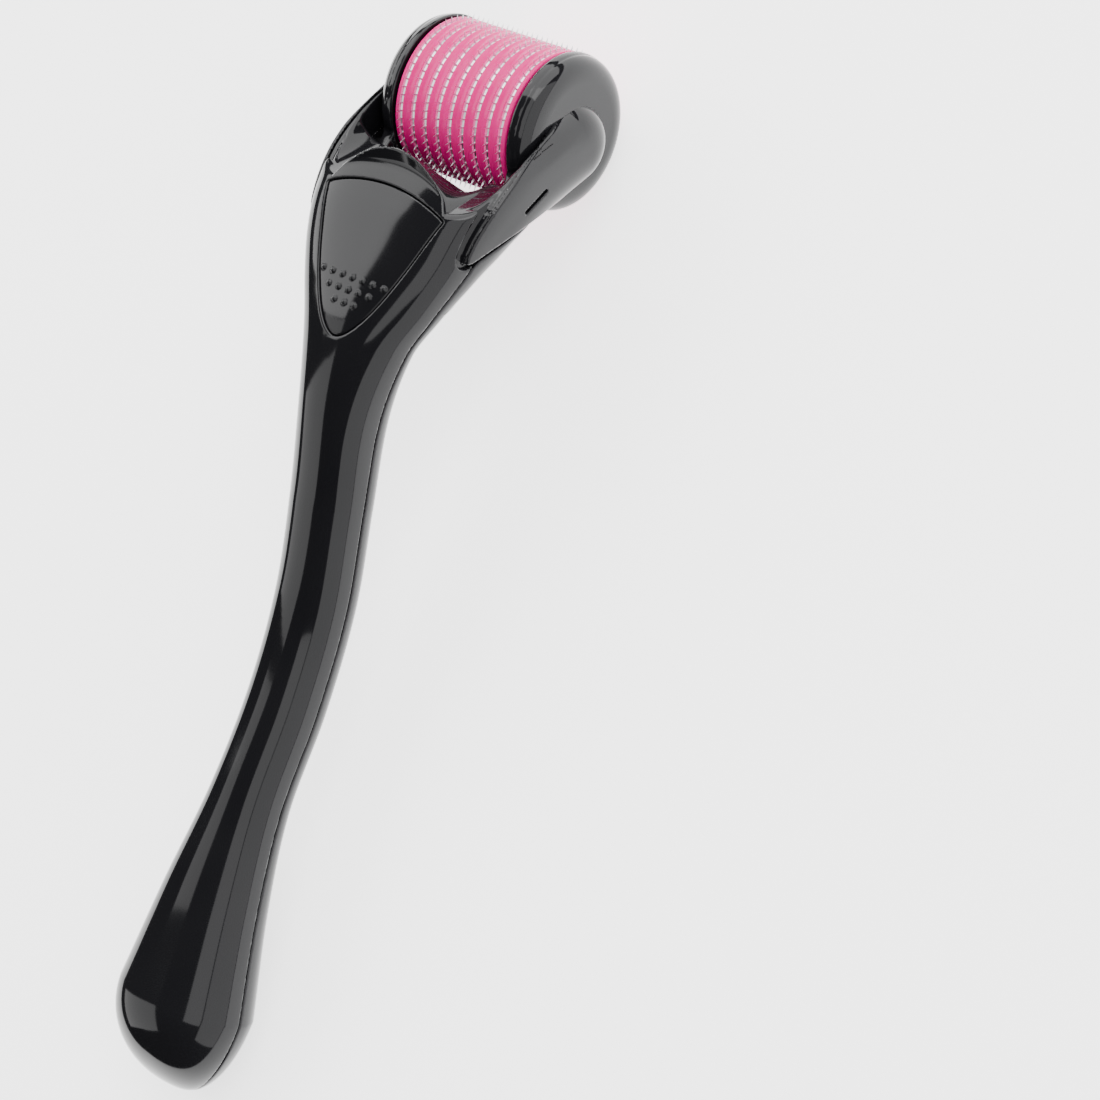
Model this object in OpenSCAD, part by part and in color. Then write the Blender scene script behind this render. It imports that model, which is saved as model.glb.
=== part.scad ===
// Derma roller with a slim two-part handle and a needle drum that turns in a fork.
// Lies on its drum and on the handle's bulb. +Y points to the drum, +Z is the thumb side,
// and X is the direction of the drum's axle. Units are millimetres.

/* [Handle] */
// Width of the bulb at the free end
bulb_width = 20; // [18:0.5:22]
// Width of the slim grip
grip_width = 11.4; // [10:0.2:13]
// Width over the two arms
head_width = 29.4; // [29:0.2:30]
// Wall of the two shells
wall = 1.6; // [1.2:0.1:2.0]

/* [Head] */
// Radius of the round end of an arm
arm_radius = 6.2; // [5.8:0.1:6.5]
// Radius of the round cheeks beside the drum
cheek_radius = 10.5; // [10:0.1:10.6]
// Height of the crescent guard over the thumb pad
guard_height = 2.6; // [2:0.2:3.4]
// Size of a grip dot on the thumb pad
dot_radius = 0.42; // [0.3:0.02:0.5]

/* [Drum] */
// Radius of a needle disc without its needles
disc_radius = 10.5; // [9.5:0.1:10.5]
// Length that a needle stands out
needle_length = 0.5; // [0.2:0.1:0.5]
// Needles on one disc
needle_count = 60; // [40:2:64]
// Distance from disc to disc
disc_pitch = 2.1; // [1.9:0.05:2.15]
// Radius of the axle pin
pin_radius = 1.5; // [1.2:0.1:1.8]

/* [Hidden] */
axle = [0, 62.7, 11];          // middle of the drum
head_tilt = -42;               // slope of the arms, down towards the drum
disc_count = 9;
disc_thick = 0.3;
ring_gap = 0.03;               // play between a disc and the ring next to it
core_radius = 6;
cap_thick = 0.75;
stack_half = disc_pitch * (disc_count - 1) / 2;
drum_half = stack_half + disc_thick / 2 + ring_gap + cap_thick;
cheek_in = 9.75;
cheek_out = 13;
leg_out = 11.6;
slot_half = 13.3;
slot_radius = 12.6;
bush_radius = 2.6;
turn_play = 0.05;              // running clearance of the pin in the drum
seam = 0.05;                   // half of the gap at the moulding line

arm_square = 3.4;              // squareness of the arms' outline
// Handle stations along the middle line, measured from the drum's middle:
// [y, z, half width, height above, depth below, squareness above, squareness below]
stations = [
    [-124, -3.2, bulb_width * 0.505, 6.6, 7.8, 2.2, 2.2],
    [-110, -1.6, bulb_width * 0.39, 5.4, 6.1, 2.2, 2.2],
    [-96, -1.2, grip_width * 0.51, 4.7, 4.7, 2.2, 2.2],
    [-82, -1.3, grip_width * 0.49, 4.7, 4.7, 2.2, 2.2],
    [-68, 0.6, grip_width * 0.5, 4.7, 4.7, 2.2, 2.2],
    [-55, 4.8, grip_width * 0.51, 4.7, 4.7, 2.2, 2.2],
    [-43, 9.1, grip_width * 0.555, 5.1, 4.8, 2.2, 2.2],
    [-34, 11.3, 8.2, 5.3, 4.6, 2.2, 2.2],
    [-28.5, 11.8, 10.5, 5.3, 5.2, 2.4, 2.3],
    [-23, 11.6, 12.5, 5.6, 6.2, 2.9, 2.5],
    [-18, 10.8, head_width * 0.465, 6.4, 7.2, 3.2, 2.7],
    [-13, 8.8, head_width * 0.492, 7.2, 7.2, 3.6, 2.8],
    [-7, 4.9, head_width * 0.5, 7.4, 6.8, 3.6, 3],
    [-1.1, -0.5, head_width * 0.5, arm_radius, arm_radius, arm_square, arm_square]
];
arm_centre = [axle[1] - 1.1, axle[2] - 0.5];
bulb_start = -124;
bulb_reach = 12.4;

black = [0.02, 0.02, 0.025];
pink = [0.95, 0.25, 0.6];
steel = [0.8, 0.8, 0.82];

// ---- smooth loft through the stations ----

// Slope of column c at station i, from its neighbours
function slope(i, c) = let (a = stations[max(i - 1, 0)],
    b = stations[min(i + 1, len(stations) - 1)]) (b[c] - a[c]) / (b[0] - a[0]);

// Value of column c at y, by cubic curves between stations
function along(y, c, i = 0) =
    (i < len(stations) - 2 && y > stations[i + 1][0]) ? along(y, c, i + 1) :
    let (a = stations[i], b = stations[i + 1], h = b[0] - a[0], t = (y - a[0]) / h)
    a[c] * (2 * t^3 - 3 * t^2 + 1) + b[c] * (3 * t^2 - 2 * t^3)
    + h * slope(i, c) * (t^3 - 2 * t^2 + t) + h * slope(i + 1, c) * (t^3 - t^2);

// Direction of the middle line at y, in degrees
function tilt(y) = max(head_tilt, atan(along(y, 1) - along(y - 1, 1)));

// Rounding factor of the bulb's end, 1 where the bulb starts
function bulb(y) = y >= bulb_start ? 1 : sqrt(max(0.0001, 1 - ((bulb_start - y) / bulb_reach)^2));
bulb_droop = 6.4;              // how far the tip hangs under the bulb's middle

function corner(v, n) = sign(v) * pow(abs(v), 2 / n);

// One ring of points across the handle, drawn in by inset
function section(y, inset, count) = let (
    s = max(y, bulb_start), f = bulb(y), w = tilt(s),
    half = max(0.05, f * along(s, 2) - inset))
    [for (k = [0:count - 1]) let (
        c = cos(360 * k / count), q = sin(360 * k / count), n = along(s, q > 0 ? 5 : 6),
        reach = max(0.05, f * along(s, q > 0 ? 3 : 4) - inset),
        u = corner(q, n) * reach)
        [half * corner(c, n), axle[1] + y - u * sin(w),
            axle[2] + along(s, 1) - bulb_droop * (1 - f) + u * cos(w)]];

// One ring of an arm's round end, turned by angle a past the last station
function round_end(a, inset, count) = let (n = arm_square, radius = arm_radius - inset,
    half = head_width / 2 - inset, d = radius * sin(a))
    [for (k = [0:count - 1]) let (q = sin(360 * k / count), u = corner(q, n) * radius * cos(a),
        spread = pow(max(0, 1 - pow(norm([d, u]) / radius, n)), 1 / n))
        [sign(round(1e6 * cos(360 * k / count))) * half * spread,
            arm_centre[0] + d * cos(head_tilt) - u * sin(head_tilt),
            arm_centre[1] + d * sin(head_tilt) + u * cos(head_tilt)]];

function steps(from, to, count) = [for (k = [0:count]) from + (to - from) * k / count];
// Stations close together round the bulb's end, with a small flat on the tip
function bulb_steps(reach, count) =
    [for (k = [0:count - 1]) bulb_start - reach * cos(4 + 86 * k / count)];

function lofted(ys, inset, count) = [for (y = ys) section(y, inset, count)];
// The same with the arms' round end added
function lofted_head(ys, inset, count) = concat(lofted(ys, inset, count),
    [for (k = [1:8]) round_end(10.75 * k, inset, count)]);

module loft(rings) {
    m = len(rings);
    count = len(rings[0]);
    points = [for (r = rings, p = r) p];
    sides = [for (i = [0:m - 2], k = [0:count - 1]) let (j = (k + 1) % count)
        [i * count + k, i * count + j, (i + 1) * count + j, (i + 1) * count + k]];
    polyhedron(points, concat(sides,
        [[for (k = [0:count - 1]) count - 1 - k],
         [for (k = [0:count - 1]) (m - 1) * count + k]]), convexity = 8);
}

module handle_outside() {
    loft(lofted_head(concat(bulb_steps(bulb_reach, 8), steps(-124, -40, 27), steps(-38, -1.1, 22)),
        0, 44));
}

module handle_inside() {
    loft(lofted(concat(bulb_steps(bulb_reach - wall, 6), steps(-123, -40, 16), steps(-37, -25, 3)),
        wall, 24));
}

// Everything above (side = 1) or below (side = -1) the moulding line
module parting_half(side) {
    line = [for (y = concat(bulb_steps(bulb_reach + 0.2, 8), steps(-123.3, -1.1, 40)))
        let (s = max(y, bulb_start), droop = bulb_droop * (1 - bulb(y)))
        [axle[1] + y, axle[2] + along(s, 1) - droop + side * seam]];
    end = [arm_centre[0] + 20 * cos(head_tilt), arm_centre[1] + 20 * sin(head_tilt) + side * seam];
    rotate([90, 0, 90]) translate([0, 0, -20]) linear_extrude(40)
        polygon(concat([line[0] - [5, 0]], line,
            [end, [end[0], side * 60], [line[0][0] - 5, side * 60]]));
}

// ---- head ----

// Round disc across the drum's axle
module across(radius, from, to, fn = 64) {
    translate([from, axle[1], axle[2]]) rotate([0, 90, 0])
        cylinder(r = radius, h = to - from, $fn = fn);
}

// Room for the drum and the cradle between the arms
module drum_room() {
    across(slot_radius, -slot_half, slot_half, 72);
    cradle_leg(-1, 0.12);
    cradle_leg(1, 0.12);
    crossbar(0.12);
    back_wall(0.12);
    mouth();
}

// The mouth falls from the guard's back down to the drum
module mouth() {
    cells = 14;
    for (k = [0:cells - 1]) hull() for (x = [mouth_at(k / cells), mouth_at((k + 1) / cells)])
        translate([x - 0.01, 0, 0]) rotate([90, 0, 90]) linear_extrude(0.02)
            polygon([mouth_top(x), mouth_low(x), axle_yz + [20, 20], mouth_top(x) + [0, 20]]);
}

axle_yz = [axle[1], axle[2]];
// Place across the mouth for t from 0 to 1
function mouth_at(t) = (slot_half - 0.05) * (2 * t - 1);
function mouth_top(x) = let (t = min(1, abs(x) / 9.6)) [crest(t)[1] + 0.35, crest(t)[2]];
// Where the mouth meets the drum's slot: low behind the guard, high at the arms
function mouth_angle(x) = let (t = min(1, max(0, (abs(x) - 4.5) / 5)))
    42 * t * t * (3 - 2 * t) + 14 * (max(0, abs(x) - 9.4) / 3.9)^2;
function mouth_low(x) = axle_yz
    + (slot_radius - 0.2) * [-cos(mouth_angle(x)), sin(mouth_angle(x))];

// Crossbar of the cradle: how far behind the axle, height over it, depth and height
bar = [20.5, 9.4, 4, 4];
elbow = [-9, 4.9];             // bend of a cradle leg, from the axle

module crossbar(play) {
    half = leg_out - 0.4 + play;
    translate([-half, axle[1] - bar[0] - play, axle[2] + bar[1] - play])
        cube([2 * half, bar[2] + 2 * play, bar[3] + 2 * play]);
}

// One leg runs from the crossbar to the axle, with a bend at the elbow
module cradle_leg(side, play) {
    thick = leg_out - cheek_in + 2 * play;
    back = [-bar[0] + 0.7 - play, -bar[0] + bar[2] - 0.7 + play];
    low = bar[1] + 0.5 - play;
    high = bar[1] + bar[3] - 0.5 + play;
    translate([side > 0 ? cheek_in - play : -leg_out - play, axle[1], axle[2]])
        rotate([90, 0, 90]) linear_extrude(thick)
            polygon([[back[0], low], elbow - [1.6 + play, 1.6 + play], [-2.5, -3.5 - play],
                [3.5, 0], [2.5, 3.5 + play], elbow + [1.6 + play, 1.6 + play],
                [back[1], high], [back[0], high]]);
    cheek(side, play);
}

// Curved wall of the cradle behind the drum, with an upright at each leg
module back_wall(play) {
    wall_sector(-9.2 - play, 9.2 + play, 0.8 + play, -4 - play, play);
    for (x = [-cheek_in - 0.2, 8.8])
        wall_sector(x - play, x + 1.15 + play, 10 + play, -4 - play, play);
}

module wall_sector(from, to, rise, fall, play) {
    intersection() {
        difference() {
            across(13 + play, from, to, 72);
            across(11.35 - play, -20, 20, 72);
        }
        rotate([90, 0, 90]) translate([0, 0, -15]) linear_extrude(30)
            polygon([axle_yz, axle_yz + [-20, rise], axle_yz + [-20, fall]]);
    }
}

// Round cheek beside the drum, its outer edge rounded off
module cheek(side, play) {
    soft = 2.6;
    translate([0, axle[1], axle[2]]) rotate([0, side * 90, 0])
        translate([0, 0, cheek_in - play]) rotate_extrude($fn = 72)
            polygon(concat([[0, 0], [cheek_radius + play, 0]],
                [for (k = [0:5]) [cheek_radius + play - soft * (1 - cos(18 * k)),
                    cheek_out - cheek_in + 2 * play - soft + soft * sin(18 * k)]],
                [[0, cheek_out - cheek_in + 2 * play]]));
}

// Crest of the crescent guard at t from -1 to 1
function crest(t) = [9.6 * t, axle[1] - 9.8 - 5.2 * t * t,
    axle[2] + 15 + guard_height * (1 - abs(t)^3)];
// Foot of the guard on the thumb side
function foot(t) = [9.7 * t, axle[1] - 13.7 - 2 * t * t, axle[2] + 14.4 - 0.6 * t * t];

module guard() {
    for (k = [0:9]) let (a = -1 + 0.2 * k, b = a + 0.2) hull() {
        for (t = [a, b]) {
            translate(crest(t)) sphere(r = 0.4, $fn = 10);
            translate(foot(t)) sphere(r = 0.6, $fn = 10);
            translate([foot(t)[0], mouth_top(foot(t)[0])[0], axle[2] + 9]) sphere(r = 0.6, $fn = 10);
        }
    }
}

// Shield outline of the thumb pad, grown by grow
pad_tip = -34.5;
pad_length = 18;
function pad_half(t) = 9.7 * pow(t, 0.56);
module shield(grow) {
    side = [for (k = [1:16]) let (t = (k / 16)^2) [pad_half(t), axle[1] + pad_tip + pad_length * t]];
    offset(r = grow) polygon(concat(
        [[0, axle[1] + pad_tip]], side,
        [for (k = [-9:9]) let (t = -k / 10) [foot(t)[0], foot(t)[1] - 0.7]],
        [for (k = [len(side) - 1:-1:0]) [-side[k][0], side[k][1]]]));
}

// Layer under the handle's skin, from depth top down to depth low
module skin(top, low) {
    difference() {
        loft(lofted(steps(-40, -8, 22), top, 64));
        loft(lofted(steps(-41, -7, 22), low, 64));
    }
}

module pad_room(grow, top, low) {
    intersection() {
        translate([0, 0, axle[2] + 10]) linear_extrude(20) shield(grow);
        skin(top, low);
    }
}

module handle_front_shell() {
    color(black) intersection() {
        parting_half(1);
        difference() {
            union() { handle_outside(); guard(); }
            handle_inside();
            drum_room();
            pad_room(0.08, -1, 1.45);
        }
    }
}

module handle_back_shell() {
    color(black) {
        intersection() {
            parting_half(-1);
            difference() {
                handle_outside();
                handle_inside();
                drum_room();
            }
        }
        // stiffening ribs across the hollow grip
        for (k = [0:7]) rib(-104 + 10 * k);
    }
}

module rib(y) {
    hull() for (s = [-1, 1], u = [0.15, 0.9])
        translate([s * (along(y, 2) - 1.2) * sqrt(1 - u * u), axle[1] + y,
            axle[2] + along(y, 1) - u * (along(y, 4) - 1.0)])
            sphere(r = 0.45, $fn = 8);
}

module thumb_pad() {
    color(black) {
        pad_room(0, pad_sunk, 1.4);
        for (row = [0:2], k = [0:6 - 2 * row])
            grip_dot(1.72 * (k - 3 + row), -26.9 - 1.66 * row);
    }
}
pad_sunk = 0.2;

module grip_dot(x, y) {
    top = pad_height(x, y);
    hull() translate([x, axle[1] + y, top - 0.12]) sphere(r = dot_radius, $fn = 12);
}

// Height of the pad over the point x, y, by walking down through the skin
function pad_height(x, y) = let (half = along(y, 2) - pad_sunk, up = along(y, 3) - pad_sunk,
    n = along(y, 5)) axle[2] + along(y, 1) + up * pow(1 - pow(abs(x) / half, n), 1 / n);

module roller_cradle() {
    color(black) difference() {
        union() {
            for (s = [-1, 1]) cradle_leg(s, 0);
            crossbar(0);
            back_wall(0);
        }
        across(bush_radius, -20, 20, 48);
    }
}

// Centre and radius of the teardrop along its length, t from 0 at the axle to 1 at the tail
function drop_at(t) = let (a = [-1.2, -0.5], b = [-10.5, 10.5], c = [-20, 13])
    (1 - t)^2 * a + 2 * t * (1 - t) * b + t^2 * c;
function drop_radius(t) = (arm_radius - 0.8) * pow(1 - t, 0.8) + 0.35;

// Teardrop cover, a thin plate that follows the outside of the arm
module axle_cover(side) {
    cells = 10;
    thick = 0.6;
    color(black) difference() {
        intersection() {
            loft(lofted_head(steps(-26, -1.1, 24), -thick, 48));
            for (k = [0:cells - 1]) hull() for (t = [k / cells, (k + 1) / cells])
                translate([0, drop_at(t)[0], drop_at(t)[1]])
                    across(drop_radius(t), side > 0 ? 8 : -20, side > 0 ? 20 : -8, 56);
        }
        loft(lofted_head(steps(-26.5, -1.1, 24), -0.03, 48));
        across(slot_radius + 0.5, -slot_half, slot_half, 72);
    }
}

module axle_cover_left() { axle_cover(-1); }
module axle_cover_right() { axle_cover(1); }

module axle_bush(side) {
    color(steel) difference() {
        across(bush_radius, side > 0 ? cheek_in : -cheek_out, side > 0 ? cheek_out : -cheek_in, 48);
        across(pin_radius, -20, 20, 40);
    }
}

module axle_bush_left() { axle_bush(-1); }
module axle_bush_right() { axle_bush(1); }

module axle_pin() { color(steel) across(pin_radius, -cheek_out + 0.1, cheek_out - 0.1, 40); }

// ---- drum ----

module drum_core() {
    color(pink) difference() {
        across(core_radius, -drum_half, drum_half, 64);
        across(pin_radius + turn_play, -20, 20, 40);
    }
}

module drum_cap(side) {
    edge = drum_half - cap_thick;
    color(pink) difference() {
        across(disc_radius - 0.2, side > 0 ? edge : -drum_half, side > 0 ? drum_half : -edge, 96);
        across(core_radius, -20, 20, 64);
    }
}

module drum_cap_left() { drum_cap(-1); }
module drum_cap_right() { drum_cap(1); }

// Ring of sharp needles round a thin disc, turned half a pitch on every second disc
module needle_disc(i) {
    x = (i - (disc_count + 1) / 2) * disc_pitch;
    step = 360 / needle_count;
    color(steel) translate([x - disc_thick / 2, axle[1], axle[2]]) rotate([90, 0, 90])
        linear_extrude(disc_thick) rotate(i % 2 * step / 2) difference() {
            polygon([for (k = [0:needle_count - 1], j = [-1, 0, 1])
                let (a = step * (k + 0.16 * j), r = disc_radius + (j == 0 ? needle_length : 0))
                [r * cos(a), r * sin(a)]]);
            circle(r = core_radius, $fn = 64);
        }
}

module needle_disc_1() { needle_disc(1); }
module needle_disc_2() { needle_disc(2); }
module needle_disc_3() { needle_disc(3); }
module needle_disc_4() { needle_disc(4); }
module needle_disc_5() { needle_disc(5); }
module needle_disc_6() { needle_disc(6); }
module needle_disc_7() { needle_disc(7); }
module needle_disc_8() { needle_disc(8); }
module needle_disc_9() { needle_disc(9); }

module spacer_ring(i) {
    x = (i - disc_count / 2) * disc_pitch;
    half = (disc_pitch - disc_thick) / 2 - ring_gap;
    color(pink) difference() {
        across(disc_radius - 0.2, x - half, x + half, 96);
        across(core_radius, -20, 20, 64);
    }
}

module spacer_ring_1() { spacer_ring(1); }
module spacer_ring_2() { spacer_ring(2); }
module spacer_ring_3() { spacer_ring(3); }
module spacer_ring_4() { spacer_ring(4); }
module spacer_ring_5() { spacer_ring(5); }
module spacer_ring_6() { spacer_ring(6); }
module spacer_ring_7() { spacer_ring(7); }
module spacer_ring_8() { spacer_ring(8); }

handle_front_shell();
handle_back_shell();
thumb_pad();
roller_cradle();
axle_cover_left();
axle_cover_right();
axle_bush_left();
axle_bush_right();
axle_pin();
drum_core();
drum_cap_left();
drum_cap_right();
needle_disc_1();
needle_disc_2();
needle_disc_3();
needle_disc_4();
needle_disc_5();
needle_disc_6();
needle_disc_7();
needle_disc_8();
needle_disc_9();
spacer_ring_1();
spacer_ring_2();
spacer_ring_3();
spacer_ring_4();
spacer_ring_5();
spacer_ring_6();
spacer_ring_7();
spacer_ring_8();
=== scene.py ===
"""The looks of the derma roller: glossy shells, pad, covers, cradle and needle drum."""
import math

import bpy
import numpy as np
from mathutils import Matrix, Vector

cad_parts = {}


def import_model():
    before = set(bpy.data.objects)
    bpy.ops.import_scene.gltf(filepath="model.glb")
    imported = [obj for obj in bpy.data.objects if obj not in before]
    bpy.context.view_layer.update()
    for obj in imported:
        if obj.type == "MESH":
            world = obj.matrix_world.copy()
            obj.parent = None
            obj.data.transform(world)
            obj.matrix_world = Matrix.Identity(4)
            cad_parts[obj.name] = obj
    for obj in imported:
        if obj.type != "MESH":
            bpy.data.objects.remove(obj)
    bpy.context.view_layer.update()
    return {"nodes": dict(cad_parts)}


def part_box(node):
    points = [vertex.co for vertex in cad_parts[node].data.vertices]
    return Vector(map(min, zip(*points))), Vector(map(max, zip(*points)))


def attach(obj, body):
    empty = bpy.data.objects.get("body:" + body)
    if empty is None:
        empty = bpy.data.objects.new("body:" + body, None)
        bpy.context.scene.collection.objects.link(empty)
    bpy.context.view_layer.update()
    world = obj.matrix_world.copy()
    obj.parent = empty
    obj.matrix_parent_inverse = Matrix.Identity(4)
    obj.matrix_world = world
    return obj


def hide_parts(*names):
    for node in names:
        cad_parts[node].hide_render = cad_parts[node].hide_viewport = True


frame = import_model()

MM = 0.001

# ---- sizes from the frame, in millimetres ----


def box_mm(node):
    """A CAD node's lowest and highest corners."""
    low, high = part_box(node)
    return np.array(low) / MM, np.array(high) / MM


pin_low, pin_high = box_mm("axle_pin")
AXLE = (pin_low + pin_high) / 2
disc_low, disc_high = box_mm("needle_disc_5")
TIP_RADIUS = (disc_high[1] - disc_low[1]) / 2
ring_low, ring_high = box_mm("spacer_ring_1")
RING_RADIUS = (ring_high[1] - ring_low[1]) / 2
DISC_PITCH = box_mm("spacer_ring_2")[0][0] - ring_low[0]
core_low, core_high = box_mm("drum_core")
CORE_RADIUS = (core_high[1] - core_low[1]) / 2
CHEEK_OUT = box_mm("roller_cradle")[1][0]
CHEEK_IN = box_mm("axle_bush_right")[0][0]
HEAD_HALF = box_mm("handle_front_shell")[1][0]
COVER_OUT = box_mm("axle_cover_right")[1][0]

# ---- sizes that the frame doesn't give, in millimetres; places are measured from the axle ----

DISCS = 9
NEEDLES = 60
CHEEK_RADIUS = 10.5
CHEEK_ROUND = 3.4
CHEEK_GROOVE = 0.28
CHEEK_GROOVE_AT = 1.3
ARM_RADIUS = 6.2
ARM_LEAN = math.radians(-42)
ARM_SQUARE = 3.4
SLOT_RADIUS = 12.6
SLOT_HALF = 13.3
SEAM = 0.05
BULB_REACH = 12.4
BULB_DROOP = 6.4

# Crescent guard in front of the drum, and the saddles that fall to the arms beside it
CREST_MIDDLE = (-9.8, 15)
CREST_HALF = 9.6
CREST_SWEEP = 5.2
CREST_LIFT = 2.4
FOOT_MIDDLE = (-13.7, 14.4)
FOOT_SWEEP = 2
FOOT_FALL = 0.6
GUARD_HALF = 10.4
GUARD_FOOT = 9
GUARD_THICK = 0.35
SADDLE_START = 4.5
SADDLE_RUN = 5
SADDLE_TURN = 42
SHOULDER_START = 9.4
SHOULDER_TURN = 14
MOUTH_DEPTH = SLOT_RADIUS - 0.2

# Thumb pad, its grip dots and its recess
PAD_TIP = -34.5
PAD_LENGTH = 18
PAD_HALF = 9.7
PAD_BOW = 0.56
PAD_FRONT_HALF = 8.9
PAD_FRONT_GAP = 0.7
PAD_SUNK = 0.2
PAD_THICK = 1.2
PAD_GAP = 0.1
DOT_ROWS = 3
DOT_PITCH = 1.72
DOT_ROW_PITCH = 1.66
DOT_FIRST_ROW = -26.9
DOT_RADIUS = 0.42
DOT_HEIGHT = 0.3

# Axle covers: the groove round each, the curve that each one's outline follows, and its slot
GROOVE_OFFSET = 0.35
GROOVE_HALF = 0.45
GROOVE_DEPTH = 0.9
GROOVE_START = 11.4
COVER_CURVE = ((-1.2, -0.5), (-10.5, 10.5), (-20, 13))
COVER_HEAD = ARM_RADIUS - 0.8
COVER_TAIL = 0.35
COVER_THICK = COVER_OUT - HEAD_HALF - 0.03
COVER_SLOT = ((-8.05, 5.3), (-11.5, 7.5))
COVER_SLOT_HALF = 0.25

# Cradle: legs from the cheeks to the crossbar, and the low wall behind the drum
LEG_PATH = ((-2, 0.5), (-9.2, 5.0), (-18.5, 11.4))
LEG_RADII = (2.3, 1.9)
LEG_OUT = 11.6
CROSSBAR = LEG_PATH[-1]
CROSSBAR_HALF = 2
CROSSBAR_END = 11.2
WALL_RADIUS = 12.2
WALL_HALF_THICK = 0.8
WALL_HALF_WIDE = 9.3
WALL_TAPER = 1.2
WALL_LOW = -2.4
WALL_TOP = 0.5
UPRIGHT_AT = 9.4
UPRIGHT_HALF = 0.6

# Drum: how far ring edges are rounded and ring middles dip, the share of a pitch that a
# needle's foot takes to either side, and how deep the foot is sunk between the rings
RING_ROUND = 0.34
RING_DIP = 0.12
CAP_ROUND = 0.3
NEEDLE_SHARE = 0.11
NEEDLE_SUNK = 0.25
LATHE_STEPS = 192

# Handle stations: y, z, half width, height above and depth below the middle line, and
# squareness above and below it
STATIONS = np.array([
    [-124, -3.2, 10.1, 6.6, 7.8, 2.2, 2.2],
    [-110, -1.6, 7.8, 5.4, 6.1, 2.2, 2.2],
    [-96, -1.2, 5.81, 4.7, 4.7, 2.2, 2.2],
    [-82, -1.3, 5.59, 4.7, 4.7, 2.2, 2.2],
    [-68, 0.6, 5.7, 4.7, 4.7, 2.2, 2.2],
    [-55, 4.8, 5.81, 4.7, 4.7, 2.2, 2.2],
    [-43, 9.1, 6.33, 5.1, 4.8, 2.2, 2.2],
    [-34, 11.3, 8.2, 5.3, 4.6, 2.2, 2.2],
    [-28.5, 11.8, 10.5, 5.3, 5.2, 2.4, 2.3],
    [-23, 11.6, 12.5, 5.6, 6.2, 2.9, 2.5],
    [-18, 10.8, 0.93 * HEAD_HALF, 6.4, 7.2, 3.2, 2.7],
    [-13, 8.8, 0.984 * HEAD_HALF, 7.2, 7.2, 3.6, 2.8],
    [-7, 4.9, HEAD_HALF, 7.4, 6.8, 3.6, 3.0],
    [-1.1, -0.5, HEAD_HALF, ARM_RADIUS, ARM_RADIUS, ARM_SQUARE, ARM_SQUARE],
])
FIRST = STATIONS[0, 0]
LAST = STATIONS[-1, 0]
ARM_CENTRE = STATIONS[-1, :2]


# ---- smooth distance fields, in millimetres from the axle ----


def smooth_min(a, b, radius):
    blend = np.clip(1 - np.abs(a - b) / radius, 0, 1)
    return np.minimum(a, b) - blend * blend * radius / 4


def smooth_max(a, b, radius):
    return -smooth_min(-a, -b, radius)


def cut(body, tool, radius):
    return smooth_max(body, -tool, radius)


def hermite(at):
    """Station values at the places at, by cubic curves through the stations."""
    y = STATIONS[:, 0]
    order = np.arange(len(y))
    before, after = np.maximum(order - 1, 0), np.minimum(order + 1, len(y) - 1)
    slope = (STATIONS[after] - STATIONS[before]) / (y[after] - y[before])[:, None]
    i = np.clip(np.searchsorted(y, at) - 1, 0, len(y) - 2)
    h = (y[i + 1] - y[i])[:, None]
    t = (at - y[i])[:, None] / h
    return (STATIONS[i] * (2 * t**3 - 3 * t**2 + 1) + STATIONS[i + 1] * (3 * t**2 - 2 * t**3)
            + h * slope[i] * (t**3 - 2 * t**2 + t) + h * slope[i + 1] * (t**3 - t**2))


PLACES = np.linspace(FIRST, LAST, 500)
MIDDLE, HALF, UP, DOWN, SQUARE_UP, SQUARE_LOW = hermite(PLACES)[:, 1:].T
LEAN = np.maximum(ARM_LEAN, np.arctan(MIDDLE - hermite(PLACES - 1)[:, 1]))


def at_station(s, values):
    return np.interp(s, PLACES, values)


def locate(y, z):
    """Station s, height u over the middle line, and reach past the first or last station."""
    s = np.clip(y, FIRST, LAST)
    for _ in range(9):
        lean = at_station(s, LEAN)
        off = (y - s) * np.cos(lean) + (z - at_station(s, MIDDLE)) * np.sin(lean)
        s = np.clip(s + off * np.cos(lean), FIRST, LAST)
    lean = at_station(s, LEAN)
    rise = z - at_station(s, MIDDLE)
    off = (y - s) * np.cos(lean) + rise * np.sin(lean)
    u = rise * np.cos(lean) - (y - s) * np.sin(lean)
    # the bulb's end: t runs from 0 at the first station to 1 at the tip, and the tip droops
    back = np.where(s <= FIRST + 1e-6, np.maximum(-off, 0), 0)
    t = back / BULB_REACH
    for _ in range(4):
        droop = BULB_DROOP * (1 - np.sqrt(np.clip(1 - t * t, 0, 1)))
        t = np.maximum(back - droop * np.sin(lean), 0) / (BULB_REACH * np.cos(lean))
    u = u + np.where(t > 0, droop * np.cos(lean) - BULB_REACH * t * np.sin(lean), 0)
    ahead = np.where(s >= LAST - 1e-6, np.maximum(off, 0), 0)
    return s, u, t, ahead


def loft(x, s, u, t, ahead):
    """Distance to the lofted handle, near enough to true close to the surface."""
    half = at_station(s, HALF)
    depth = np.where(u > 0, at_station(s, UP), at_station(s, DOWN))
    n = np.where(u > 0, at_station(s, SQUARE_UP), at_station(s, SQUARE_LOW))
    across = np.abs(x) / half
    along = np.hypot(ahead / ARM_RADIUS, u / depth)
    ring = (across**n + along**n + 1e-9) ** (1 / n)
    total = np.hypot(ring, t)
    steep = ring ** (1 - n) * np.hypot(across ** (n - 1) / half, along ** (n - 1) / depth)
    steep = np.hypot(ring / total * steep, t / total / BULB_REACH)
    return (total - 1) / np.maximum(steep, 0.05)


def skin(x, y, z):
    """The handle's outer skin with nothing cut out, and its height coordinate."""
    s, u, t, ahead = locate(y, z)
    return loft(x, s, u, t, ahead), u


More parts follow.
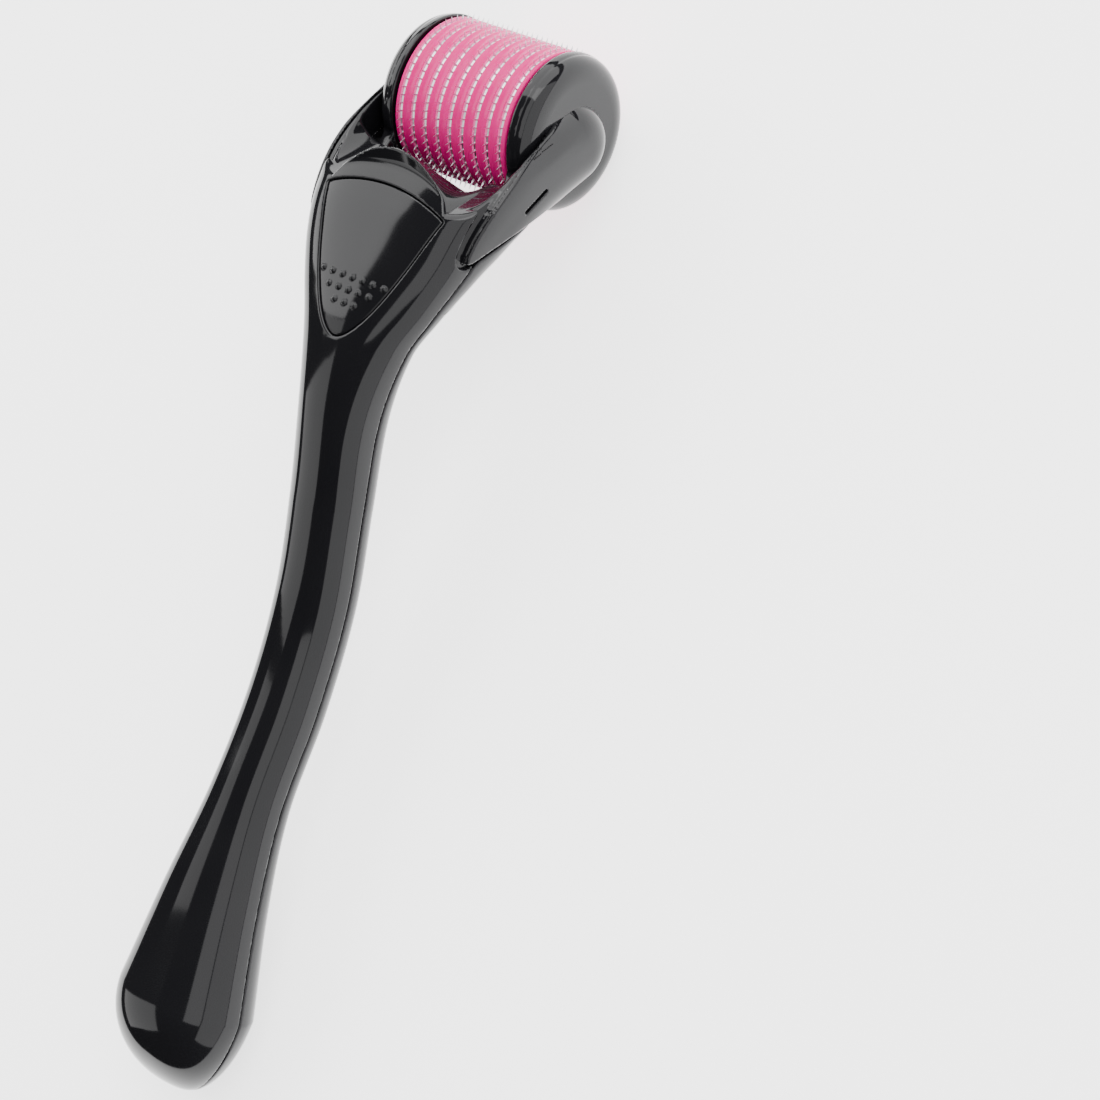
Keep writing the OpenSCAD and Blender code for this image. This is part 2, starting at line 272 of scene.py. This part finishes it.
def crest(x):
    """Place and height of the crescent guard's crest."""
    t = x / CREST_HALF
    inner = np.minimum(np.abs(t), 1)
    lift = CREST_LIFT * (1 - np.abs(t) ** 3)
    return CREST_MIDDLE[0] - CREST_SWEEP * inner**2, CREST_MIDDLE[1] + lift


def foot(x):
    """Place and height of the line where the guard's face meets the thumb pad."""
    t = np.clip(x / PAD_HALF, -1.1, 1.1)
    return FOOT_MIDDLE[0] - FOOT_SWEEP * t**2, FOOT_MIDDLE[1] - FOOT_FALL * t**2


def line_side(y, z, a, b):
    """Distance from the line a to b in the Y-Z plane, positive to its right."""
    dy, dz = b[0] - a[0], b[1] - a[1]
    return ((y - a[0]) * dz - (z - a[1]) * dy) / np.hypot(dy, dz)


def mouth_side(x, y, z):
    """Distance behind the guard's back and the saddles beside it, and where they meet the slot."""
    side = np.abs(x)
    t = np.clip((side - SADDLE_START) / SADDLE_RUN, 0, 1)
    past = np.maximum(side - SHOULDER_START, 0) / (SLOT_HALF - SHOULDER_START)
    angle = np.radians(SADDLE_TURN * t * t * (3 - 2 * t) + SHOULDER_TURN * past**2)
    low = (-MOUTH_DEPTH * np.cos(angle), MOUTH_DEPTH * np.sin(angle))
    top = crest(np.clip(x, -CREST_HALF, CREST_HALF))
    return line_side(y, z, low, (top[0] + GUARD_THICK, top[1])), low[1]


def guard(x, y, z):
    """The crescent guard, from the pad's front up to its crest."""
    face = -line_side(y, z, foot(x), crest(x))
    behind, _ = mouth_side(x, y, z)
    body = smooth_max(face, behind, 0.5)
    return smooth_max(smooth_max(body, GUARD_FOOT - z, 0.5), np.abs(x) - GUARD_HALF, 0.5)


def cavities(x, y, z):
    """Room for the drum between the arms, and the mouth that falls to it from the guard."""
    slot = smooth_max(np.hypot(y, z) - SLOT_RADIUS, np.abs(x) - SLOT_HALF, 1.0)
    behind, low = mouth_side(x, y, z)
    mouth = smooth_max(smooth_max(-behind, np.abs(x) - SLOT_HALF, 0.6), low - 0.3 - z, 0.6)
    return smooth_min(slot, mouth, 0.5)


def cover_groove(x, y, z, outer):
    """Narrow groove in the arms round each axle cover."""
    ring = np.abs(teardrop(y, z) - GROOVE_OFFSET) - GROOVE_HALF
    return np.maximum(smooth_max(ring, -outer - GROOVE_DEPTH, 0.3), GROOVE_START - np.abs(x))


def shield_outline():
    """Outline of the thumb pad, seen from above: two bowed sides and the guard's foot."""
    run = np.linspace(0, 1, 60) ** 2
    side = np.stack([PAD_HALF * run**PAD_BOW, PAD_TIP + PAD_LENGTH * run], 1)
    across = np.linspace(PAD_FRONT_HALF, -PAD_FRONT_HALF, 40)
    front = np.stack([across, foot(across)[0] - PAD_FRONT_GAP], 1)
    return np.concatenate([side, front, side[:0:-1] * [-1, 1]])


SHIELD = shield_outline()


def shield_distance(x, y):
    """Distance to the shield outline, negative inside; far points get a plain large value."""
    x, y = np.broadcast_arrays(x, y)
    out = np.full(x.shape, 9.0)
    near = (np.abs(x) < 12) & (y > PAD_TIP - 2) & (y < -12)
    p = np.stack([x[near], y[near]], -1)
    best = np.full(len(p), 1e9)
    inside = np.zeros(len(p), bool)
    for a, b in zip(SHIELD, np.roll(SHIELD, -1, 0)):
        d = b - a
        w = np.clip(((p - a) @ d) / (d @ d), 0, 1)
        best = np.minimum(best, np.hypot(*(p - a - w[:, None] * d).T))
        crosses = (a[1] > p[:, 1]) != (b[1] > p[:, 1])
        level = (p[:, 1] - a[1]) / (d[1] if d[1] else 1e-9)
        inside ^= crosses & (p[:, 0] < a[0] + level * d[0])
    out[near] = np.where(inside, -best, best)
    return out


def handle(x, y, z):
    """Both shells as one body, with the outer skin and height that it was made from."""
    outer, u = skin(x, y, z)
    body = smooth_min(outer, guard(x, y, z), 0.6)
    body = cut(body, cavities(x, y, z), 0.5)
    body = cut(body, cover_groove(x, y, z, outer), 0.5)
    return body, outer, u


def front_shell(x, y, z):
    body, outer, u = handle(x, y, z)
    recess = np.maximum(shield_distance(x, y) - PAD_GAP, -outer - PAD_SUNK - PAD_THICK - PAD_GAP)
    recess = np.maximum(recess, 1 - u)
    return smooth_max(cut(body, recess, 0.45), SEAM - u, 0.35)


def back_shell(x, y, z):
    body, _, u = handle(x, y, z)
    return smooth_max(body, u + SEAM, 0.35)


def dots():
    """Places of the grip dots on the pad: rows of seven, five and three."""
    return [(DOT_PITCH * (k - DOT_ROWS + row), DOT_FIRST_ROW - DOT_ROW_PITCH * row)
            for row in range(DOT_ROWS) for k in range(2 * (DOT_ROWS - row) + 1)]


def thumb_pad(x, y, z):
    outer, u = skin(x, y, z)
    body = smooth_max(shield_distance(x, y), outer + PAD_SUNK, 0.2)
    body = smooth_max(smooth_max(body, -outer - PAD_SUNK - PAD_THICK, 0.2), 1 - u, 0.2)
    for dot_x, dot_y in dots():
        flat = np.hypot(x - dot_x, y - dot_y)
        dome = DOT_HEIGHT * np.sqrt(np.clip(1 - (flat / DOT_RADIUS) ** 2, 0, 1))
        dot = np.maximum(flat - DOT_RADIUS, outer + PAD_SUNK - dome)
        raised = smooth_min(body, smooth_max(dot, -outer - 1, 0.1), 0.12)
        body = np.where(flat < 1.2, raised, body)
    return body


def capsule(y, z, a, b, radius):
    """Distance to a rounded bar from a to b, seen along the axle."""
    d = np.array(b) - np.array(a)
    w = np.clip(((y - a[0]) * d[0] + (z - a[1]) * d[1]) / (d @ d), 0, 1)
    return np.hypot(y - a[0] - w * d[0], z - a[1] - w * d[1]) - radius


def cheek(side, radius):
    """A round cheek with a rounded rim and a fine groove near its inner edge."""
    body = smooth_max(radius - CHEEK_RADIUS, side - CHEEK_OUT, CHEEK_ROUND)
    groove_side = side - CHEEK_IN - CHEEK_GROOVE_AT
    groove = np.hypot(groove_side, radius - CHEEK_RADIUS - 0.1) - CHEEK_GROOVE
    return smooth_max(cut(body, groove, 0.2), CHEEK_IN - side, 0.3)


def cradle_legs(side, y, z):
    """The two bent legs and the crossbar that joins them inside the head."""
    start, bend, end = LEG_PATH
    leg = smooth_min(capsule(y, z, start, bend, LEG_RADII[0]),
                     capsule(y, z, bend, end, LEG_RADII[1]), 0.6)
    middle, half = (CHEEK_IN + LEG_OUT) / 2, (LEG_OUT - CHEEK_IN) / 2
    leg = smooth_max(leg, np.abs(side - middle) - half, 0.5)
    bar = np.maximum(np.abs(y - CROSSBAR[0]), np.abs(z - CROSSBAR[1])) - CROSSBAR_HALF
    return smooth_min(leg, smooth_max(bar, side - CROSSBAR_END, 0.4), 0.6)


def back_wall(side, y, z, radius):
    """The low curved wall behind the drum, with an upright at each end."""
    shell = smooth_max(np.abs(radius - WALL_RADIUS) - WALL_HALF_THICK, y + 5, 0.5)
    end = side - WALL_HALF_WIDE - WALL_TAPER * np.minimum(z, 0)
    wall = smooth_max(smooth_max(end, z - WALL_TOP, 0.4), WALL_LOW - z, 0.4)
    upright = np.abs(side - UPRIGHT_AT) - UPRIGHT_HALF
    upright = np.maximum(upright, np.maximum(z + 0.5 * y, -z))
    return smooth_max(shell, smooth_min(wall, upright, 0.4), 0.4)


def cradle(x, y, z):
    side = np.abs(x)
    radius = np.hypot(y, z)
    body = smooth_min(cheek(side, radius), cradle_legs(side, y, z), 0.8)
    return smooth_min(body, back_wall(side, y, z, radius), 0.8)


def teardrop(y, z):
    """Outline of an axle cover: circles that shrink along a curve towards the tail."""
    head, pull, tail = np.array(COVER_CURVE)
    best = 1e9
    for t in np.linspace(0, 1, 48):
        centre = (1 - t) ** 2 * head + 2 * t * (1 - t) * pull + t * t * tail
        radius = COVER_HEAD * (1 - t) ** 0.8 + COVER_TAIL
        best = np.minimum(best, np.hypot(y - centre[0], z - centre[1]) - radius)
    return best


def axle_cover(side):
    """Field of the thin plate over the axle's end, with a bevelled top, on side -1 or 1."""

    def field(x, y, z):
        outer, _ = skin(x, y, z)
        py, pz = y - ARM_CENTRE[0], z - ARM_CENTRE[1]
        rise = pz * math.cos(ARM_LEAN) - py * math.sin(ARM_LEAN)
        out = side * x - COVER_OUT
        bevel = smooth_max(out + 0.05 * (rise - 2.2), out + 0.5 * (rise - 2.6), 0.15)
        body = smooth_max(outer - COVER_THICK, bevel, 0.15)
        body = smooth_max(body, teardrop(y, z), 0.3)
        body = cut(body, capsule(y, z, *COVER_SLOT, COVER_SLOT_HALF), 0.2)
        body = smooth_max(body, 0.02 - outer, 0.05)
        return smooth_max(body, 8 - side * x, 0.1)

    return field


# ---- from a distance field to a mesh ----


def gradient(field, p, h=0.02):
    """Slope of the field at the points p, from values h to either side."""
    parts = []
    for axis in range(3):
        step = np.zeros(3)
        step[axis] = h
        parts.append(field(*(p + step).T) - field(*(p - step).T))
    return np.stack(parts, 1) / (2 * h)


CORNERS = [(i, j, k) for i in (0, 1) for j in (0, 1) for k in (0, 1)]


def corner_values(grid, corner):
    """The grid's values at one corner of every cell."""
    ends = [n - 1 + c for n, c in zip(grid.shape, corner)]
    return grid[corner[0]:ends[0], corner[1]:ends[1], corner[2]:ends[2]]


def net_points(value, cells):
    """One point in each cell: the mean of the places where its edges cross the surface."""
    at = {c: value[tuple((cells + c).T)] for c in CORNERS}
    spot = np.zeros((len(cells), 3))
    hits = np.zeros(len(cells))
    for c in CORNERS:
        for axis in range(3):
            if c[axis]:
                continue
            d = tuple(1 if i == axis else c[i] for i in range(3))
            crosses = (at[c] < 0) != (at[d] < 0)
            w = np.where(crosses, at[c] / np.where(crosses, at[c] - at[d], 1), 0)
            place = np.tile(np.array(c, float), (len(cells), 1))
            place[:, axis] += w
            spot += place * crosses[:, None]
            hits += crosses
    return cells + spot / hits[:, None]


def net_faces(inside, number, axis):
    """A face round every grid edge along axis that crosses the surface, turned outwards."""
    counts = inside.shape
    one, two = (axis + 1) % 3, (axis + 2) % 3
    a = inside.take(range(counts[axis] - 1), axis)
    b = inside.take(range(1, counts[axis]), axis)
    edges = np.argwhere(a != b)
    keep = (edges[:, one] > 0) & (edges[:, two] > 0)
    keep &= (edges[:, one] < counts[one] - 1) & (edges[:, two] < counts[two] - 1)
    edges = edges[keep]
    ring = []
    for back_one, back_two in ((1, 1), (0, 1), (0, 0), (1, 0)):
        cell = edges.copy()
        cell[:, one] -= back_one
        cell[:, two] -= back_two
        ring.append(number[tuple(cell.T)])
    quad = np.stack(ring, 1)
    flip = ~a[tuple(edges.T)]
    quad[flip] = quad[flip][:, ::-1]
    return quad


def surface_net(field, low, high, step):
    """Points and four-sided faces of the surface where field is 0, inside a box."""
    counts = np.ceil((np.array(high) - low) / step).astype(int) + 1
    ax = [low[i] + step * np.arange(counts[i]) for i in range(3)]
    value = field(ax[0][:, None, None], ax[1][None, :, None], ax[2][None, None, :])
    value = np.broadcast_to(value, counts)
    inside = value < 0
    total = sum(corner_values(inside, c).astype(np.int8) for c in CORNERS)
    cells = np.argwhere((total > 0) & (total < len(CORNERS)))
    number = np.full(counts - 1, -1)
    number[tuple(cells.T)] = np.arange(len(cells))
    points = np.array(low) + step * net_points(value, cells)
    return points, np.concatenate([net_faces(inside, number, axis) for axis in range(3)])


def settle(field, points, rounds=3):
    """Moves points onto the surface and gives the surface's own normals there."""
    for _ in range(rounds):
        slope = gradient(field, points)
        reach = np.clip(field(*points.T), -0.15, 0.15)
        points = points - slope * (reach / np.maximum((slope**2).sum(1), 0.2))[:, None]
    slope = gradient(field, points)
    return points, slope / np.maximum(np.linalg.norm(slope, axis=1), 1e-6)[:, None]


def mesh_object(name, points, faces, normals=None):
    """A smooth mesh object from points in millimetres from the axle."""
    mesh = bpy.data.meshes.new(name)
    mesh.from_pydata(((points + AXLE) * MM).tolist(), [], [list(face) for face in faces])
    mesh.shade_smooth()
    if normals is not None:
        mesh.normals_split_custom_set_from_vertices(normals.tolist())
    piece = bpy.data.objects.new(name, mesh)
    bpy.context.scene.collection.objects.link(piece)
    return piece


def finish_piece(piece, material, body, node):
    """Gives a piece its material and slot and its body, and hides the CAD node it stands for."""
    piece.data.materials.append(material)
    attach(piece, body)
    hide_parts(node)


def moulded(name, field, node, step, material, margin=1.2):
    """A piece of the handle from its distance field, in place of a CAD node."""
    low, high = box_mm(node)
    points, faces = surface_net(field, low - AXLE - margin, high - AXLE + margin, step)
    points, normals = settle(field, points)
    finish_piece(mesh_object(name, points, faces, normals), material, "handle", node)


def lathe(name, profile):
    """A closed ring turned round the axle from a closed profile of (x, radius) points."""
    angle = np.linspace(0, 2 * math.pi, LATHE_STEPS, endpoint=False)
    profile = np.array(profile)
    count = len(profile)
    points = np.stack([
        np.repeat(profile[None, :, 0], LATHE_STEPS, 0),
        profile[None, :, 1] * np.cos(angle)[:, None],
        profile[None, :, 1] * np.sin(angle)[:, None]], -1).reshape(-1, 3)
    faces = []
    for i in range(LATHE_STEPS):
        here, there = i * count, (i + 1) % LATHE_STEPS * count
        for k in range(count):
            after = (k + 1) % count
            faces.append([here + k, here + after, there + after, there + k])
    return mesh_object(name, points, faces)


# ---- drum pieces ----


def ring_profile(x0, x1, soft, dip=0.0):
    """Profile of a ring on the core, with rounded outer edges and a dip along its middle."""
    outer = RING_RADIUS
    arc = [math.radians(15 * k) for k in range(7)]
    left = [(x0 + soft - soft * math.cos(a), outer - soft + soft * math.sin(a)) for a in arc]
    right = [(x1 - soft + soft * math.sin(a), outer - soft + soft * math.cos(a)) for a in arc]
    span = x1 - x0 - 2 * soft
    top = [(x0 + soft + span * k / 6, outer - dip * math.sin(math.pi * k / 6))
           for k in range(1, 6)]
    return [(x1, CORE_RADIUS), (x0, CORE_RADIUS)] + left + top + right


def smooth_by_angle(piece, degrees=40):
    """Flat faces stay flat while rounded edges shade smoothly."""
    piece.data.set_sharp_from_angle(angle=math.radians(degrees))
    return piece


def spacer_ring(index, material):
    node = f"spacer_ring_{index}"
    low, high = box_mm(node)
    profile = ring_profile(low[0], high[0], RING_ROUND, dip=RING_DIP)
    piece = smooth_by_angle(lathe(f"pink_ring_{index}", profile))
    finish_piece(piece, material, "drum", node)


def drum_cap(side, material):
    node = f"drum_cap_{side}"
    low, high = box_mm(node)
    profile = ring_profile(low[0], high[0], CAP_ROUND)
    piece = smooth_by_angle(lathe(f"pink_cap_{side}", profile))
    finish_piece(piece, material, "drum", node)


def disc_points(low_x, high_x, start):
    """A disc's rim and bore points on both sides of each needle, then the needle tips."""
    turn = 2 * math.pi / NEEDLES
    wide = NEEDLE_SHARE * turn
    points, tips = [], []
    for k in range(NEEDLES):
        at = start + k * turn
        for a in (at - wide, at + wide):
            for x in (low_x, high_x):
                for radius in (CORE_RADIUS, RING_RADIUS - NEEDLE_SUNK):
                    points.append((x, radius * math.cos(a), radius * math.sin(a)))
        middle = (low_x + high_x) / 2
        tips.append((middle, TIP_RADIUS * math.cos(at), TIP_RADIUS * math.sin(at)))
    return points + tips


def disc_faces():
    """Faces of a disc whose every second stretch of rim carries a needle."""
    count = 2 * NEEDLES
    first_tip = 4 * count

    def spot(i, x, rim):
        return 4 * (i % count) + 2 * x + rim

    faces = []
    for i in range(count):
        j = i + 1
        faces.append([spot(i, 0, 0), spot(j, 0, 0), spot(j, 0, 1), spot(i, 0, 1)])
        faces.append([spot(i, 1, 1), spot(j, 1, 1), spot(j, 1, 0), spot(i, 1, 0)])
        faces.append([spot(j, 0, 0), spot(i, 0, 0), spot(i, 1, 0), spot(j, 1, 0)])
        rim = [spot(i, 0, 1), spot(j, 0, 1), spot(j, 1, 1), spot(i, 1, 1)]
        if i % 2:
            faces.append(rim)
            continue
        tip = first_tip + i // 2
        faces += [[rim[n], rim[(n + 1) % 4], tip] for n in range(4)]
    return faces


def needle_disc(index, material):
    """A thin steel disc with sharp four-sided needles, turned half a pitch from the last."""
    node = f"needle_disc_{index}"
    low, high = box_mm(node)
    start = index % 2 * math.pi / NEEDLES
    points = np.array(disc_points(low[0], high[0], start))
    piece = smooth_by_angle(mesh_object(f"needle_ring_{index}", points, disc_faces()), 25)
    finish_piece(piece, material, "drum", node)


# ---- materials ----


def new_material(name, slot):
    material = bpy.data.materials.new(name)
    material.use_nodes = True
    material["slot"] = slot
    return material, material.node_tree.nodes, material.node_tree.links


def set_values(shader, **values):
    for key, value in values.items():
        shader.inputs[key.replace("_", " ")].default_value = value


def noise(nodes, links, scale, detail=3.0):
    """Noise in object coordinates, with about scale waves to the metre."""
    place = nodes.new("ShaderNodeTexCoord")
    texture = nodes.new("ShaderNodeTexNoise")
    texture.inputs["Scale"].default_value = scale
    texture.inputs["Detail"].default_value = detail
    links.new(place.outputs["Object"], texture.inputs["Vector"])
    return texture.outputs["Fac"]


def spread(nodes, links, value, low, high):
    """Maps 0..1 onto low..high."""
    node = nodes.new("ShaderNodeMapRange")
    node.inputs["To Min"].default_value = low
    node.inputs["To Max"].default_value = high
    links.new(value, node.inputs["Value"])
    return node.outputs["Result"]


def bump(nodes, links, height, strength, distance):
    node = nodes.new("ShaderNodeBump")
    node.inputs["Strength"].default_value = strength
    node.inputs["Distance"].default_value = distance
    links.new(height, node.inputs["Height"])
    return node.outputs["Normal"]


def tint(nodes, links, value, low, high):
    """Colour between low and high; low is a colour or another node's output."""
    node = nodes.new("ShaderNodeMix")
    node.data_type = "RGBA"
    if isinstance(low, tuple):
        node.inputs[6].default_value = (*low, 1)
    else:
        links.new(low, node.inputs[6])
    node.inputs[7].default_value = (*high, 1)
    links.new(value, node.inputs[0])
    return node.outputs[2]


# Distance from a disc's middle, in millimetres, at which the painted edge highlight starts to
# fade, and ends
PAINTED_HIGHLIGHT_FADE = (0.22, 0.36)


def painted_edge_highlight(nodes, links):
    """Painted highlight: 1 at the edges of the clear rings, where a paler pink stands in for the
    highlight lines, falling to 0 inside them.
    """
    place = nodes.new("ShaderNodeTexCoord")
    parts = nodes.new("ShaderNodeSeparateXYZ")
    links.new(place.outputs["Object"], parts.inputs[0])
    fold = nodes.new("ShaderNodeMath")
    fold.operation = "PINGPONG"
    fold.inputs[1].default_value = DISC_PITCH / 2 * MM
    links.new(parts.outputs["X"], fold.inputs[0])
    fade = nodes.new("ShaderNodeMapRange")
    fade.inputs["From Min"].default_value = PAINTED_HIGHLIGHT_FADE[0] * MM
    fade.inputs["From Max"].default_value = PAINTED_HIGHLIGHT_FADE[1] * MM
    fade.inputs["To Min"].default_value = 1
    fade.inputs["To Max"].default_value = 0
    links.new(fold.outputs[0], fade.inputs["Value"])
    return fade.outputs["Result"]


def black_plastic():
    material, nodes, links = new_material("gloss_black", "black_plastic")
    shader = nodes["Principled BSDF"]
    set_values(shader, IOR=1.37)
    cloud = noise(nodes, links, 60)
    links.new(tint(nodes, links, cloud, (0.004, 0.004, 0.005), (0.008, 0.008, 0.009)),
              shader.inputs["Base Color"])
    links.new(spread(nodes, links, cloud, 0.05, 0.10), shader.inputs["Roughness"])
    wave = noise(nodes, links, 130, 1.0)
    links.new(bump(nodes, links, wave, 0.05, 0.0002), shader.inputs["Normal"])
    return material


def pink_plastic():
    material, nodes, links = new_material("clear_pink", "pink_plastic")
    shader = nodes["Principled BSDF"]
    set_values(shader, IOR=1.45, Specular_IOR_Level=0.15, Subsurface_Weight=0.2,
               Subsurface_Radius=(0.002, 0.0005, 0.001), Subsurface_Scale=1.0)
    cloud = noise(nodes, links, 250)
    body = tint(nodes, links, cloud, (0.52, 0.002, 0.13), (0.66, 0.006, 0.19))
    # a paler pink is painted along the ring edges as highlight lines
    links.new(tint(nodes, links, painted_edge_highlight(nodes, links), body, (0.92, 0.17, 0.42)),
              shader.inputs["Base Color"])
    links.new(spread(nodes, links, cloud, 0.16, 0.28), shader.inputs["Roughness"])
    links.new(bump(nodes, links, cloud, 0.15, 0.0001), shader.inputs["Normal"])
    return material


def steel(name, slot, low, high, color):
    """Steel of a colour, with roughness from low to high."""
    material, nodes, links = new_material(name, slot)
    shader = nodes["Principled BSDF"]
    set_values(shader, Metallic=1.0)
    grain = noise(nodes, links, 900, 2.0)
    darker = tuple(0.9 * c for c in color)
    links.new(tint(nodes, links, grain, darker, color), shader.inputs["Base Color"])
    links.new(spread(nodes, links, grain, low, high), shader.inputs["Roughness"])
    links.new(bump(nodes, links, grain, 0.2, 0.00005), shader.inputs["Normal"])
    return material


# ---- scene ----


def build_handle(black):
    """The moulded pieces, each with its own grid step in millimetres."""
    step = 0.29
    moulded("front_shell", front_shell, "handle_front_shell", step, black)
    moulded("back_shell", back_shell, "handle_back_shell", step, black)
    moulded("pad_skin", thumb_pad, "thumb_pad", 0.16, black, margin=0.6)
    moulded("cradle_body", cradle, "roller_cradle", 0.26, black)
    for name, side in (("left", -1), ("right", 1)):
        moulded(f"cover_{name}", axle_cover(side), f"axle_cover_{name}", 0.22, black, margin=0.6)


def build_drum(pink, bright):
    for index in range(1, DISCS + 1):
        needle_disc(index, bright)
    for index in range(1, DISCS):
        spacer_ring(index, pink)
    for side in ("left", "right"):
        drum_cap(side, pink)


def paint_nodes(pink, satin):
    """The CAD pieces that stay as they are get their final materials."""
    for node, material in (("drum_core", pink), ("axle_pin", satin), ("axle_bush_left", satin),
                           ("axle_bush_right", satin)):
        piece = frame["nodes"][node]
        piece.data.materials.clear()
        piece.data.materials.append(material)


FLOOR_HALF = 3.0
FLOOR_DROP = 0.0002


def floor():
    """A wide pale floor, just below the roller, that glows a little so that it looks white."""
    mesh = bpy.data.meshes.new("studio_floor")
    square = ((-1, -1), (1, -1), (1, 1), (-1, 1))
    mesh.from_pydata([(x * FLOOR_HALF, y * FLOOR_HALF, 0) for x, y in square], [], [(0, 1, 2, 3)])
    plane = bpy.data.objects.new("studio_floor", mesh)
    bpy.context.scene.collection.objects.link(plane)
    plane.location.z = -FLOOR_DROP
    material, nodes, _ = new_material("pale_floor", "")
    set_values(nodes["Principled BSDF"], Base_Color=(0.95, 0.95, 0.95, 1), Roughness=0.9,
               Specular_IOR_Level=0.0, Emission_Color=(1, 1, 1, 1), Emission_Strength=2.0)
    mesh.materials.append(material)


def softbox(name, place, target, size, power):
    """A rectangular light at place, in metres, that faces target."""
    light = bpy.data.lights.new(name, "AREA")
    light.shape = "RECTANGLE"
    light.size, light.size_y = size
    light.energy = power
    lamp = bpy.data.objects.new(name, light)
    lamp.location = place
    lamp.rotation_euler = (Vector(target) - Vector(place)).to_track_quat("-Z", "Y").to_euler()
    bpy.context.scene.collection.objects.link(lamp)


def world(strength):
    sky = bpy.data.worlds.new("studio_air")
    sky.use_nodes = True
    sky.node_tree.nodes["Background"].inputs["Color"].default_value = (1, 1, 1, 1)
    sky.node_tree.nodes["Background"].inputs["Strength"].default_value = strength
    bpy.context.scene.world = sky


# The camera's right, up and back directions, as the photo was taken
RIGHT = Vector((0.764, 0.353, -0.541)).normalized()
UP_WAY = Vector((-0.322, 0.934, 0.154)).normalized()
BACK = RIGHT.cross(UP_WAY).normalized()
# The picture's middle, in millimetres right of and below the axle, and the camera's distance
AIM_RIGHT = 6.364
AIM_DOWN = 57.01
CAMERA_REACH = 0.476
LENS = 119.9
SENSOR = 36


def camera():
    data = bpy.data.cameras.new("photo_camera")
    data.lens = LENS
    data.sensor_width = SENSOR
    data.clip_start = 0.01
    aim = (Vector(AXLE) + AIM_RIGHT * RIGHT - AIM_DOWN * UP_WAY) * MM
    seat = bpy.data.objects.new("photo_camera", data)
    turn = Matrix((RIGHT, BACK.cross(RIGHT), BACK)).transposed().to_4x4()
    seat.matrix_world = Matrix.Translation(aim + CAMERA_REACH * BACK) @ turn
    bpy.context.scene.collection.objects.link(seat)
    bpy.context.scene.camera = seat


LIGHT_REACH = 0.8


def side_box(name, side, elevation, middle, length, height, glow):
    """A box beside the roller, turned to it, with glow watts on each square metre."""
    lift = math.radians(elevation)
    place = (side * LIGHT_REACH * math.cos(lift), middle, LIGHT_REACH * math.sin(lift))
    softbox(name, place, (0, middle, 0), (length, height), glow * length * height)


def lights():
    """Bright boxes low on both sides; the dark air over the roller gives the black bands."""
    world(0.05)
    side_box("left_rear_box", -1, 34, -0.55, 0.5, 0.66, 7)
    side_box("left_high_box", -1, 48, -0.16, 0.12, 0.25, 7)
    side_box("left_front_box", -1, 35, 0.36, 0.92, 0.62, 14)
    side_box("right_box", 1, 30, 0, 1.6, 0.85, 7.5)
    side_box("right_front_box", 1, 74, 0.2, 1.1, 0.4, 8)
    softbox("front_box", (0, 0.66, 0.46), (0, 0, 0), (1.0, 0.8), 12)


camera()
lights()
floor()
gloss = black_plastic()
pink = pink_plastic()
build_handle(gloss)
build_drum(pink, steel("bright_steel", "needle_steel", 0.25, 0.38, (0.75, 0.74, 0.77)))
paint_nodes(pink, steel("satin_steel", "bush_steel", 0.3, 0.4, (0.7, 0.7, 0.72)))
